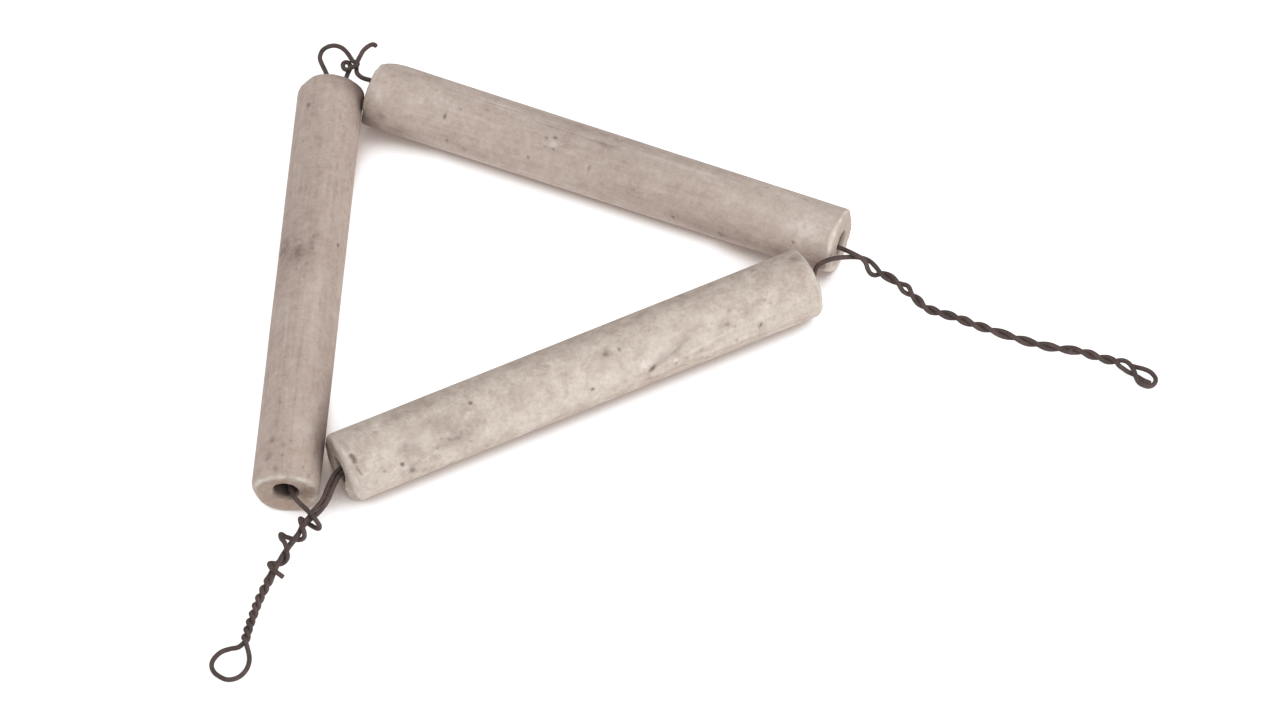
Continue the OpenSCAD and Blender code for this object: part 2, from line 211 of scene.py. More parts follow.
            ["soot_and_shade", 14.0, 185, 5.0, 2.0, 0, 0.5], ["soot_and_shade", 23.8, 181, 3.2, 1.6, 0, 0.4],
            ["soot_and_shade", 19.5, 186, 4.2, 1.4, 0, 0.4], ["soot_and_shade", 27.5, 196, 2.6, 2.2, 0, 0.5],
            ["soot_and_shade", 29.7, 186, 1.6, 2.2, 0, 0.75], ["soot_and_shade", -26.0, 187, 2.4, 1.2, 0, 0.4],
            ["soot_and_shade", -28.0, 165, 1.0, 0.9, 0, 0.35], ["soot_and_shade", -30.3, 165, 1.0, 3.4, 0, 0.6],
            ["soot_and_shade", 3.9, 62, 22.0, 1.4, 0, 0.2], ["soot_and_shade", -3.1, 66, 9.0, 0.9, 0, 0.18],
            ["warm", 11.9, 62, 14.0, 1.2, 0, 0.08], ["pale", 24.0, 64, 10.0, 2.0, 0, 0.3], ["pale", 26.5, 118, 6.0, 4.0, 0, 0.3], ["warm", 7.9, 165, 14.0, 2.6, 0, 0.22],
            ["soot_and_shade", 1.4, 120, 13.0, 4.5, 0, 0.12],
            ["pale", -29.0, 132, 1.2, 3.6, 0, 0.45], ["pale", -6.0, 118, 0.9, 0.8, 0, 0.6],
            ["pale", -5.1, 114, 0.5, 0.4, 0, 0.4], ["pale", 26.9, 128, 3.4, 3.2, 0, 0.45],
            ["pale", 27.5, 149, 0.6, 0.5, 0, 0.3], ["pale", -22.1, 125, 6.0, 3.2, 0, 0.22],
            ["pale", 19.9, 112, 7.0, 2.6, 0, 0.2],
        ],
        lines=[
            ["light", 0.11, 0.42, [-21, 76.5], [-14, 77], [-6.1, 78.5], [1.9, 81], [9.9, 82], [20.9, 81.5]],
            ["light", 0.10, 0.3, [-4.1, 86], [3.9, 87], [12.9, 86]],
            ["dark", 0.2, 0.3, [-10.1, 88], [-4.1, 88.5], [1.9, 88]],
            ["dark", 0.12, 0.2, [-26.1, 79], [-16.1, 80], [-4.1, 81], [7.9, 80]],
            ["light", 0.10, 0.25, [-20.1, 84], [-10.1, 85], [3.9, 84]],
            ["dark", 0.1, 0.18, [-4.1, 128], [7.9, 126], [18.9, 127]],
        ],
    ),
    "lower_tube": dict(
        piece="lower_clay", body="lower_roller", slot="clay", mid=(-13.55, -4.53), turn=26.7,
        length=61.8, od=8.55, ends=(8.58, 8.53), seed=3,
        base=(0.32, 0.35), soft=(0.35, 0.3), dirt=(0.25, 0.8), reach=[[0, 80, 70, 0.15]], edge=(1.0, 1.0), rings=[],
        wear=[[0, 130, 75, 0.72, 0.75], [0, 180, 40, 0.2, 0.2], [1, 95, 90, 0.3, 0.3], [1, 170, 60, 0.2, 0.25]],
        bites=[[0, 220, 3.0, 1.8, 4.6], [0, 200, 2.4, 1.75, 4.5], [0, 262, 3.2, 2.55, 4.3], [1, 305, 3.0, 2.6, 4.6],
               [1, 128, 1.3, 1.15, 4.4], [1, 200, 1.4, 1.2, 4.5]],
        swells=[],
        stains=[[0, 62, 3.0, 1.3, 0.7], [0, 95, 2.6, 1.6, 0.3], [0, 250, 2.6, 2.0, 0.3], [1, 90, 3.4, 1.6, 0.5]],
        painted_shades=[[-31.0, 40, 2.0, 6.0, 0, 0.35], [-3.0, 55, 58.0, 3.0, 0, 0.14], [0.0, 208, 58.0, 2.4, 0, 0.16],
                [29.2, 79, 1.8, 1.3, 0, 0.3]],
        marks=[
            ["pit", -24.5, 155, 0.5, 0.55, 0, 1.0], ["pit", 0.2, 157, 0.45, 0.45, 0, 1.0],
            ["pit", -14.3, 103, 0.5, 0.45, 0, 0.95], ["pit", 22.3, 164, 0.4, 0.7, 30, 0.9],
            ["warm", 19.0, 175, 0.55, 0.55, 0, 0.9], ["pit", 11.0, 173, 0.45, 0.4, 0, 0.55],
            ["pit", -23.4, 174, 0.9, 0.6, 40, 0.65], ["pit", -22.0, 186, 0.8, 0.6, 0, 0.4],
            ["pit", -26.8, 155, 0.4, 0.4, 0, 0.5], ["pit", -19.9, 152, 0.35, 0.35, 0, 0.45],
            ["pit", -18.2, 145, 0.35, 0.35, 0, 0.45], ["pit", -15.8, 163, 0.35, 0.35, 0, 0.4],
            ["pit", -13.9, 190, 0.4, 0.4, 0, 0.45], ["pit", -8.8, 100, 0.35, 0.35, 0, 0.4],
            ["pit", -19.2, 138, 0.3, 0.3, 0, 0.4], ["pit", -17.0, 150, 0.3, 0.3, 0, 0.35],
            ["pit", -14.6, 142, 0.3, 0.3, 0, 0.3], ["pit", -22.4, 92, 0.3, 0.3, 0, 0.45],
            ["pit", -24.2, 84, 0.3, 0.3, 0, 0.4], ["pit", -26.0, 88, 0.35, 0.3, 0, 0.4],
            ["warm", 15.2, 191, 0.7, 0.5, 0, 0.6], ["pit", 8.0, 164, 1.2, 0.55, -38, 1.0],
            ["pit", 3.0, 111, 0.75, 0.6, 0, 0.55], ["pit", 4.8, 112, 0.4, 0.6, 0, 0.6],
            ["soot_and_shade", 3.0, 111, 1.6, 1.2, 0, 0.5], ["pit", 24.4, 65, 0.8, 0.5, 0, 0.4],
            ["pit", 23.6, 125, 0.5, 0.4, 30, 0.45], ["pit", 24.2, 134, 0.4, 0.4, 0, 0.4],
            ["pit", 23.0, 130, 0.3, 0.3, 0, 0.3], ["pit", 19.1, 120, 0.4, 0.4, 0, 0.35],
            ["pit", 18.3, 140, 0.7, 0.5, 20, 0.4], ["pit", 19.1, 147, 0.35, 0.35, 0, 0.4],
            ["pit", 16.4, 128, 0.3, 0.3, 0, 0.35], ["pit", 12.4, 170, 0.5, 0.35, 0, 0.4],
            ["pit", 28.4, 150, 0.3, 0.3, 0, 0.3], ["pit", 6.4, 118, 0.25, 0.25, 0, 0.3],
            ["pit", -5.2, 132, 0.25, 0.3, 0, 0.3], ["pit", -10.1, 150, 0.3, 0.3, 0, 0.25],
            ["soot_and_shade", -23.0, 134, 2.4, 1.9, 0, 0.5], ["soot_and_shade", -24.2, 131, 1.4, 1.0, 0, 0.3],
            ["soot_and_shade", -17.0, 136, 4.6, 2.6, 25, 0.4], ["soot_and_shade", -14.2, 128, 2.6, 1.6, 20, 0.28],
            ["soot_and_shade", -19.2, 150, 2.2, 1.2, 20, 0.3], ["soot_and_shade", -7.6, 120, 3.0, 1.8, 0, 0.2],
            ["soot_and_shade", -28.2, 92, 3.0, 2.4, 0, 0.25], ["soot_and_shade", -23.2, 173, 1.6, 1.4, 0, 0.55], ["soot_and_shade", -16.8, 143, 3.6, 1.4, 0, 0.4],
            ["soot_and_shade", -20.0, 112, 4.0, 1.6, 0, 0.3], ["soot_and_shade", -22.6, 76, 3.0, 1.4, 0, 0.25], ["soot_and_shade", -9.2, 128, 3.0, 1.8, 0, 0.25],
            ["soot_and_shade", 14.0, 124, 2.0, 1.4, 0, 0.2], ["soot_and_shade", 10.3, 148, 5.2, 1.0, -21, 0.42], ["soot_and_shade", 18.0, 142, 1.3, 0.8, 20, 0.4],
            # painted shadow: the two soot marks on the next line and the first on the line after are a soft shadow on
            # top of the right end
            ["soot_and_shade", 29.5, 80, 1.2, 0.9, 0, 0.45], ["soot_and_shade", 30.9, 96, 1.0, 0.9, 0, 0.5],
            ["soot_and_shade", 28.0, 72, 3.4, 2.0, 0, 0.14], ["soot_and_shade", 9.3, 61, 1.2, 0.8, 0, 0.4],
            ["soot_and_shade", -6.6, 62, 3.0, 1.0, 0, 0.25], ["soot_and_shade", 17.0, 62, 2.2, 1.0, 0, 0.3],
            ["warm", 10.9, 186, 7.0, 1.5, 0, 0.4], ["warm", 0.4, 196, 50.0, 1.3, 0, 0.3],
            ["pale", -21.4, 129, 2.6, 1.8, 0, 0.6], ["pale", -29.2, 162, 1.6, 2.8, 0, 0.4],
            ["pale", 7.1, 152, 1.8, 1.4, -30, 0.55], ["pale", 8.9, 137, 3.4, 2.0, -30, 0.35],
            ["pale", 19.1, 163, 1.6, 0.9, 0, 0.5], ["pale", 4.2, 107, 0.9, 0.7, 0, 0.3],
            ["pale", 14.7, 141, 2.4, 1.4, 0, 0.3], ["pale", 10.1, 144, 1.2, 0.8, -30, 0.4],
            ["pale", 11.0, 165, 0.6, 0.4, 0, 0.9], ["pale", -25.8, 136, 2.4, 1.4, 0, 0.35],
            # painted light: the last two long pale marks on the next line lighten the middle of the near side as a lit
            # band
            ["pale", -24.2, 163, 0.9, 0.6, 0, 0.35], ["pale", 0.4, 158, 12.0, 1.8, 0, 0.22], ["pale", 1.0, 146, 26.0, 5.0, 0, 0.24],
            ["pale", 24.9, 150, 5.0, 2.2, 0, 0.3],
        ],
        lines=[
            # painted shade and highlight: the dark line from 8.2 along, with the light lines beside it, is the shadow
            # and lit edge of a raised flake, and the last three dark lines near -30 along are painted shade in the
            # crease at the left rim
            ["dark", 0.34, 0.34, [8.2, 160.5], [9.4, 155], [10.6, 150], [11.7, 144], [12.7, 138], [13.8, 131]],
            ["light", 0.16, 0.45, [9.4, 152], [10.6, 147], [11.6, 141.5]],
            ["light", 0.14, 0.45, [12.4, 162], [14.9, 158], [17.6, 153], [19.9, 150]],
            ["dark", 0.16, 0.3, [11.4, 166], [12.9, 168], [14.9, 167]],
            ["dark", 0.12, 0.35, [4.5, 86], [5.3, 80], [6.2, 76.5], [6.7, 70], [6.6, 64]],
            ["dark", 0.14, 0.35, [4.4, 183], [10.4, 185], [17.4, 184], [24.4, 186]],
            ["light", 0.12, 0.3, [9.9, 174], [15.4, 175], [22.4, 174]],
            ["dark", 0.2, 0.35, [-30.2, 72], [-30.0, 84], [-29.8, 96], [-29.7, 104]],
            ["dark", 0.28, 1.25, [-30.0, 107], [-29.75, 112], [-29.7, 118], [-29.75, 127]],
            ["dark", 0.16, 0.7, [-29.75, 126], [-29.7, 136], [-29.45, 147]],
        ],
    ),
}


def angle_of(P):
    return np.degrees(np.arctan2(P[:, 2], P[:, 1]))


def rim_wear(spec, end, phi):
    """How far the worn bevel runs along and in at each angle round one rim."""
    along, into = spec["base"]
    a = np.full(len(phi), along, np.float32)
    b = np.full(len(phi), into, np.float32)
    for e, at, half, da, db in spec["wear"]:
        if e == end:
            g = bump_at(phi, at, half)
            a += da * g
            b += db * g
    ring = np.stack([np.full(len(phi), 40.0 * end), 4 * np.cos(np.radians(phi)), 4 * np.sin(np.radians(phi))], 1)
    shake = noise(ring, 1.3, 1) * 0.18 + noise(ring, 0.5, 2) * 0.12
    return a * (1 + shake), b * (1 + shake)


def clay_body(spec, P, fracture=False):
    """Signed distance to the worn tube at points in its own axes, below 0 inside."""
    half = spec["length"] / 2
    x, phi = P[:, 0], angle_of(P)
    r = np.hypot(P[:, 1], P[:, 2])
    k = spec["seed"]
    t = (x + half) / (2 * half)
    radius = 0.5 * (spec["ends"][0] * (1 - t) + spec["ends"][1] * t)
    lengthwise = np.stack([x * 0.12, P[:, 1], P[:, 2]], 1)
    radius = radius - 0.012 + 0.014 * noise(lengthwise, 1.6, k) + 0.02 * noise(P, 7.0, k + 1)
    for end, at, wide, back, extra in spec["swells"]:
        gap = x + half if end == 0 else half - x
        t = np.clip(1 - gap / back, 0, 1)
        radius = radius + extra * t * t * (3 - 2 * t) * bump_at(phi, at, wide)
    f = r - radius
    for end, out in ((0, -x - half), (1, x - half)):
        along, into = rim_wear(spec, end, phi)
        for e, at, wide, extra in spec["reach"]:
            if e == end:
                out = out - extra * bump_at(phi, at, wide) * np.clip((r - 2.2) / 1.6, 0, 1)
        rough = 0.05 * noise(P, 0.9, k + 2) + 0.035 * noise(P, 0.33, k + 3) + 0.02 * noise(P, 0.16, k + 4)
        # a straight bevel from `into` below the rim to `along` back from it
        slope = (out + along) / along + (r - (radius - into)) / into - 1.0
        scale = 1.0 / np.hypot(1.0 / along, 1.0 / into)
        f = smax(f, slope * scale + rough * 0.6, spec["soft"][end])
        face = out + 0.06 + rough
        f = smax(f, face, 0.14)
    bites = np.full(len(x), -9.0, np.float32)
    for end, at, br, past, out_r in spec["bites"]:
        c = np.array([(1 if end else -1) * (half + past), out_r * math.cos(math.radians(at)), out_r * math.sin(math.radians(at))])
        d = np.linalg.norm(P - c, axis=1)
        bites = np.maximum(bites, br - d)
    rough = 0.07 * noise(P, 0.8, k + 4) + 0.05 * noise(P, 0.35, k + 2) + 0.03 * noise(P, 0.17, k)
    broken = bites + rough
    f = smax(f, broken, 0.08)
    mouth = 0.12 * np.clip(1 - (half - np.abs(x)) / 0.5, 0, 1)
    bore = BORE_R + mouth + 0.04 * noise(P, 1.1, k + 5) + 0.03 * noise(P, 0.4, k + 1) - r
    f = smax(f, bore, 0.12)
    if fracture:
        return f, broken, r - radius, np.abs(x) - half
    return f


def marks_of(spec, P):
    """How strong each kind of mark is at points on the surface, and how deep the surface lies there."""
    phi, x = angle_of(P), P[:, 0]
    R = spec["od"] / 2
    k = spec["seed"]
    skin = np.clip(1 - (R - np.hypot(P[:, 1], P[:, 2])) / 1.2, 0, 1)
    ux = x + 0.16 * noise(P, 0.6, k) + 0.08 * noise(P, 0.25, k + 1)
    uw = 0.16 * noise(P, 0.6, k + 2) + 0.08 * noise(P, 0.25, k + 3)
    grain = 0.75 + 0.45 * noise(P, 0.35, k + 4) + 0.25 * noise(P, 0.8, k + 5)
    out = {n: np.zeros(len(P), np.float32) for n in ("pit", "soot_and_shade", "warm", "pale", "dark", "light", "shade", "depth")}
    half = spec["length"] / 2
    # painted shade: soft cast shadow and shading from the shade table, kept in the shade mask
    for a, at, ln, wd, turn, strength in spec["painted_shades"]:
        dx, dw = ux * 0.5 + x * 0.5 - a, np.radians(wrap(phi - at)) * R + uw * 0.5
        c, s = math.cos(math.radians(turn)), math.sin(math.radians(turn))
        e = ((dx * c + dw * s) / (ln / 2)) ** 2 + ((-dx * s + dw * c) / (wd / 2)) ** 2
        out["shade"] = np.maximum(out["shade"], np.exp(-e * 0.7) * strength)
    for end, at, far, size, strength in spec["stains"]:
        past = np.clip(1 - (half - (x if end else -x)) / 1.0, 0, 1)
        dy = P[:, 1] - far * math.cos(math.radians(at)) + uw * 0.6
        dz = P[:, 2] - far * math.sin(math.radians(at)) + uw * 0.6
        e = (dy * dy + dz * dz) / (size / 2) ** 2
        out["warm"] += np.exp(-e * 0.7) * strength * past * np.clip(grain, 0, 1.3) * 0.8
    for kind, a, at, ln, wd, turn, strength in spec["marks"]:
        soft = kind in ("soot_and_shade", "pale", "warm") and max(ln, wd) > 1.0
        j = 0.9 if soft else 0.35
        dx = x + (ux - x) * j * (2.5 if soft else 1) - a
        dw = np.radians(wrap(phi - at)) * R + uw * j * (2.5 if soft else 1)
        c, s = math.cos(math.radians(turn)), math.sin(math.radians(turn))
        e = ((dx * c + dw * s) / (ln / 2)) ** 2 + ((-dx * s + dw * c) / (wd / 2)) ** 2
        if soft:
            v = np.exp(-e * 0.7) * strength * np.clip(grain, 0, 1.4)
        else:
            v = np.exp(-(e**1.6) * 0.8) * strength
        v = v * skin
        out[kind] = np.maximum(out[kind], v) if not soft else out[kind] + v
        if kind == "pit":
            out["depth"] = np.maximum(out["depth"], np.exp(-e * 0.9) * min(ln, wd) * 0.22 * strength * skin)
    for kind, width, strength, *pts in spec["lines"]:
        best = np.full(len(P), 9.0, np.float32)
        side = np.zeros(len(P), np.float32)
        span = len(pts) - 1
        run = np.zeros(len(P), np.float32)
        w = np.radians(wrap(phi - pts[0][1])) * R
        for i in range(span):
            a0, w0 = pts[i][0], math.radians(pts[i][1] - pts[0][1]) * R
            a1, w1 = pts[i + 1][0], math.radians(pts[i + 1][1] - pts[0][1]) * R
            ex, ew = a1 - a0, w1 - w0
            ll = ex * ex + ew * ew
            px, pw = x + (ux - x) * 0.3 - a0, w + uw * 0.3 - w0
            t = np.clip((px * ex + pw * ew) / ll, 0, 1)
            d = np.hypot(px - t * ex, pw - t * ew)
            near = d < best
            side = np.where(near, np.sign(ex * pw - ew * px), side)
            run = np.where(near, (i + t) / span, run)
            best = np.minimum(best, d)
        fade = np.clip(np.minimum(run, 1 - run) * 8, 0, 1) * np.clip(0.75 + 0.6 * noise(P, 1.3, k + 2), 0, 1.2)
        core = np.exp(-((best / width) ** 2)) * strength * fade * skin
        # a step: a dark line with a painted highlight along one side as its lit lip
        if kind == "step":
            out["dark"] = np.maximum(out["dark"], core)
            lip = np.exp(-(((best - 1.8 * width) / (1.3 * width)) ** 2)) * strength * fade * skin * (side > 0)
            out["light"] = np.maximum(out["light"], lip * 0.7)
            out["depth"] = np.maximum(out["depth"], core * 0.09)
        else:
            out[kind] = np.maximum(out[kind], core)
            out["depth"] = np.maximum(out["depth"], core * 0.03)
    return out


def stations(spec):
    """The ring of rays round the wall's section: a start on its middle line and a direction, for each."""
    half, R = spec["length"] / 2, spec["od"] / 2
    back = 1.6
    rm = 0.5 * (R + BORE_R)
    lo, hi = -half + back, half - back
    near = np.concatenate([np.arange(0, 3.0, 0.12), np.arange(3.0, 2 * hi / 2, 0.21)])
    near = near[near < hi - 0.1]
    xs = np.concatenate([lo + near, (hi - near)[::-1]])
    xs = np.concatenate([lo + near, [0.0], (hi - near)[::-1]])
    xs = np.unique(np.round(xs, 4))
    rays = [(x, rm, 0.0, 1.0) for x in xs]

    def fan(end, n):
        corner = [(0.0, R - rm), (back, R - rm), (back, BORE_R - rm), (0.0, BORE_R - rm)]
        lens = [math.dist(corner[i], corner[i + 1]) for i in range(3)]
        total = sum(lens)
        out = []
        for j in range(1, n):
            d, i = total * j / n, 0
            while d > lens[i]:
                d -= lens[i]
                i += 1
            t = d / lens[i]
            px = corner[i][0] * (1 - t) + corner[i + 1][0] * t
            pr = corner[i][1] * (1 - t) + corner[i + 1][1] * t
            ll = math.hypot(px, pr)
            out.append((px / ll, pr / ll))
        return out

    n_fan = 56
    rays += [(hi, rm, dx, dr) for dx, dr in fan(1, n_fan)]
    deep = np.concatenate([np.arange(0, 2.4, 0.3), np.linspace(2.4, 2 * hi - 2.4, 14), 2 * hi - np.arange(0, 2.4, 0.3)[::-1]])
    rays += [(hi - d, rm, 0.0, -1.0) for d in deep]
    rays += [(lo, rm, -dx, dr) for dx, dr in fan(0, n_fan)[::-1]]
    return rays


def clay_mesh(name, spec):
    rays = stations(spec)
    m, n = len(rays), 192
    ang = np.linspace(0, 2 * math.pi, n, endpoint=False)
    S = np.array(rays, float)
    cy, sz = np.cos(ang), np.sin(ang)
    start = np.stack([
        np.repeat(S[:, 0], n), (S[:, 1:2] * cy).ravel(), (S[:, 1:2] * sz).ravel()], 1)
    dirs = np.stack([
        np.repeat(S[:, 2], n), (S[:, 3:4] * cy).ravel(), (S[:, 3:4] * sz).ravel()], 1)
    near = np.full(len(start), 0.15)
    far = np.full(len(start), 2.9)
    for _ in range(15):
        mid = 0.5 * (near + far)
        inside = clay_body(spec, start + dirs * mid[:, None]) < 0
        near = np.where(inside, mid, near)
        far = np.where(inside, far, mid)
    P = start + dirs * near[:, None]
    mk = marks_of(spec, P)
    # pits and creases sink into the side
    outward = P * np.array([0, 1, 1.0])
    outward /= np.linalg.norm(outward, axis=1)[:, None]
    P = P - outward * mk["depth"][:, None] * (S[:, 3:4] > 0.99).repeat(n, 1).ravel()[:, None]
    f, broken, off, past = clay_body(spec, P, True)
    masks = {k: mk[k] for k in ("pit", "soot_and_shade", "warm", "pale", "dark", "light", "shade")}
    masks["fresh"] = np.clip(1 + broken / 0.06, 0, 1) * (off < -0.03)
    face = np.clip((past + 0.35) / 0.2, 0, 1) * np.clip(-off / 0.3, 0, 1)
    masks["face"] = (face * np.where(P[:, 0] > 0, spec["dirt"][1], spec["dirt"][0])).astype(np.float32)
    # painted shade: the bore mask darkens the inside of the bore more deeply in from the end
    inner = np.clip((BORE_R + 0.5 - np.hypot(P[:, 1], P[:, 2])) / 0.3, 0, 1)
    masks["bore"] = (inner * np.clip((-past - 0.15) / 0.8, 0, 1)).astype(np.float32)
    worn = np.clip((-off - 0.02) / 0.12, 0, 1) * np.clip((off + 2.4) / 0.6, 0, 1) * np.clip((past + 1.0) / 0.35, 0, 1)
    worn = worn * np.where(P[:, 0] > 0, spec["edge"][1], spec["edge"][0])
    masks["worn"] = (worn * (1 - np.clip(face * 1.2, 0, 1)) * (1 - masks["fresh"])).astype(np.float32)
    # painted highlights: pale rings near the rim, put into the light mask
    for end, far, more, wide, at, half_angle, strength in spec["rings"]:
        near_end = np.clip((past + 0.5) / 0.3, 0, 1) * ((P[:, 0] > 0) == bool(end))
        d = np.hypot(P[:, 1], P[:, 2]) + 0.12 * noise(P, 0.8, spec["seed"] + 2) - far - more * np.cos(np.radians(angle_of(P))) ** 2
        ring = np.exp(-((d / wide) ** 2)) * near_end * bump_at(angle_of(P), at, half_angle) ** 0.5
        ring = ring * np.clip(0.7 + 0.7 * noise(P, 0.7, spec["seed"]), 0, 1.2)
        masks["light"] = np.maximum(masks["light"], (ring * strength).astype(np.float32))

    # the axis lies a little high or low so that the tapered side still touches the surface it lies on
    t = (P[:, 0] + spec["length"] / 2) / spec["length"]
    local_r = 0.5 * (spec["ends"][0] * (1 - t) + spec["ends"][1] * t)
    P[:, 2] += local_r - spec["od"] / 2

    mesh = bpy.data.meshes.new(name)
    mesh.vertices.add(len(P))
    mesh.vertices.foreach_set("co", (P * MM).astype(np.float32).ravel())
    i = np.arange(m)[:, None]
    j = np.arange(n)[None, :]
    a = (i * n + j).ravel()
    b = (i * n + (j + 1) % n).ravel()
    c = ((i + 1) % m * n + (j + 1) % n).ravel()
    d = ((i + 1) % m * n + j).ravel()
    quads = np.stack([a, d, c, b], 1)
    mesh.loops.add(quads.size)
    mesh.loops.foreach_set("vertex_index", quads.ravel().astype(np.int32))
    mesh.polygons.add(len(quads))
    mesh.polygons.foreach_set("loop_start", np.arange(0, quads.size, 4, dtype=np.int32))
    mesh.polygons.foreach_set("loop_total", np.full(len(quads), 4, np.int32))
    mesh.update()
    mesh.validate()
    mesh.polygons.foreach_set("use_smooth", np.ones(len(mesh.polygons), bool))
    for k, v in masks.items():
        att = mesh.attributes.new("clay_" + k, "FLOAT", "POINT")
        att.data.foreach_set("value", np.clip(v, 0, 1).astype(np.float32))
    mesh.update()
    return mesh


def local_frame(spec):
    a = math.radians(spec["turn"])
    return Matrix((
        (math.cos(a), -math.sin(a), 0, spec["mid"][0] * MM),
        (math.sin(a), math.cos(a), 0, spec["mid"][1] * MM),
        (0, 0, 1, spec["od"] / 2 * MM),
        (0, 0, 0, 1),
    ))


# ------------------------------------------------------------------ wire routes

WIRE_R = 0.295


def unit(v):
    v = np.asarray(v, float)
    return v / np.linalg.norm(v)


def by_tube(name, a, n=0.0, h=0.0):
    s = TUBES[name]
    t = math.radians(s["turn"])
    return [s["mid"][0] + a * math.cos(t) - n * math.sin(t), s["mid"][1] + a * math.sin(t) + n * math.cos(t), s["od"] / 2 + h]


def key(K, i):
    if i < 0:
        return 2 * K[0] - K[1]
    if i > len(K) - 1:
        return 2 * K[-1] - K[-2]
    return K[i]


def along(K, u):
    K = np.asarray(K, float)
    i = min(max(math.floor(u), 0), len(K) - 2)
    a, b, c, d = key(K, i - 1), key(K, i), key(K, i + 1), key(K, i + 2)
    t = u - i
    return 0.5 * (2 * b + (c - a) * t + (2 * a - 5 * b + 4 * c - d) * t * t + (3 * b - a - 3 * c + d) * t**3)


STEPS = 9


def bends(K):
    return [along(K, j / STEPS) for j in range((len(K) - 1) * STEPS + 1)]


def between(before, K, after):
    return bends([before, *K, after])[1:-1]


def run_from(K, after):
    return bends([*K, after])[:-1]


def run_to(before, K):
    return bends([before, *K])[1:]


def lookup(u, table):
    return float(np.interp(u, [t[0] for t in table], [t[1] for t in table]))


def strand(K, HT, RT, k, u0, u1, n):
    out = []
    for j in range(n + 1):
        u = u0 + (u1 - u0) * j / n
        p = along(K, u)
        t = unit(along(K, min(u + 0.02, len(K) - 1)) - along(K, max(u - 0.02, 0)))
        s = unit(np.cross([0, 0, 1], t))
        b = np.cross(t, s)
        f = math.pi * (lookup(u, HT) + k)
        out.append(p + lookup(u, RT) * (math.cos(f) * s + math.sin(f) * b))
    return out


RIGHT_CORE = [
    [22.7, 10.9, 4], [24.8, 9.4, 3.9], [26.5, 7.7, 3.7], [27.9, 6, 3.6], [29.6, 5.3, 3.4],
    [31.7, 4.7, 3.2], [33.6, 3.8, 3.1], [35.7, 3.1, 2.9], [38.5, 2, 2.8], [41.1, 1.2, 2.6],
    [43.7, 0.7, 2.4], [46.4, 0.3, 2.3], [48.4, -0.4, 2.1], [50.4, -0.9, 2],
]
RIGHT_HALF = [[0, 1.69], [13, 14.69]]
RIGHT_R = [[0, 0.33], [0.5, 0.29], [1.1, 0.29], [1.4, 0.42], [1.7, 0.42], [2, 0.29], [13, 0.29]]


def right_strand(k):
    return strand(RIGHT_CORE, RIGHT_HALF, RIGHT_R, k, 0, 13, 13 * 10)


LEFT_CORE = [
    [-41.2, -18.5, 4.1], [-42, -20.2, 3.7], [-42.8, -22.4, 3.4], [-44.2, -24.3, 3.2],
    [-45.2, -25.6, 3.1], [-45.7, -26.8, 3], [-46.6, -28.2, 2.9], [-47.4, -29.7, 2.8],
    [-48.1, -30.9, 2.6], [-48.6, -32.2, 2.5], [-49.1, -33.4, 2.4], [-49.6, -34.6, 2.3],
    [-50, -35.7, 2.2], [-50.3, -36.7, 2.1], [-50.6, -37.8, 2], [-50.9, -38.8, 1.9],
    [-51.1, -39.8, 1.8], [-51.3, -40.8, 1.7], [-51.4, -41.3, 1.6],
]
LEFT_HALF = [[0, 1], [2.2, 1], [3.2, 0.5], [4.2, 0.43], [7.2, 0.43], [7.9, 0.28],
             [9.1, 0.2], [9.6, 0], [10, -0.57], [18, -8.57]]
LEFT_R = [[0, 0.3], [9, 0.3], [10, 0.285], [18, 0.285]]


def left_strand(k, start, n):
    a = strand(LEFT_CORE, LEFT_HALF, LEFT_R, k, start, 9, n * 2)
    return a + strand(LEFT_CORE, LEFT_HALF, LEFT_R, k, 9, 17, 96)[1:]


KNOT = [
    [-42.3, 40.9, 4.1], [-42.2, 41.3, 4.3], [-42, 41.9, 4.4], [-41.8, 42.4, 4.5],
    [-41.9, 43, 4.6], [-42.2, 43.3, 4.6], [-42.6, 43.1, 4.7], [-42.7, 42.6, 4.8],
    [-42.5, 41.9, 5], [-42.1, 41.5, 5.3], [-41.7, 41.6, 5.5], [-41.3, 41.8, 5.6],
    [-41, 41.8, 5.6], [-40.8, 42.1, 5.7], [-41, 42.4, 5.7], [-41.4, 42.5, 5.7],
    [-41.7, 43.2, 5.5],
]
RING = [
    [-42.3, 44.6, 5], [-43, 45.5, 4.8], [-43.9, 45.9, 4.7], [-44.8, 45.7, 4.6],
    [-45.4, 45.1, 4.5], [-45.6, 44.1, 4.4], [-45.3, 43.2, 4.3], [-44.8, 42, 4.2],
    [-44.4, 40.9, 4.1],
]
LEFT_BORE = [by_tube("left_tube", *p) for p in (
    (-30.5, 0, 0.1), (-27.2,), (-15.2,), (15.2,), (27.2, 0.3, -0.2), (30, 0.8, -0.4))]
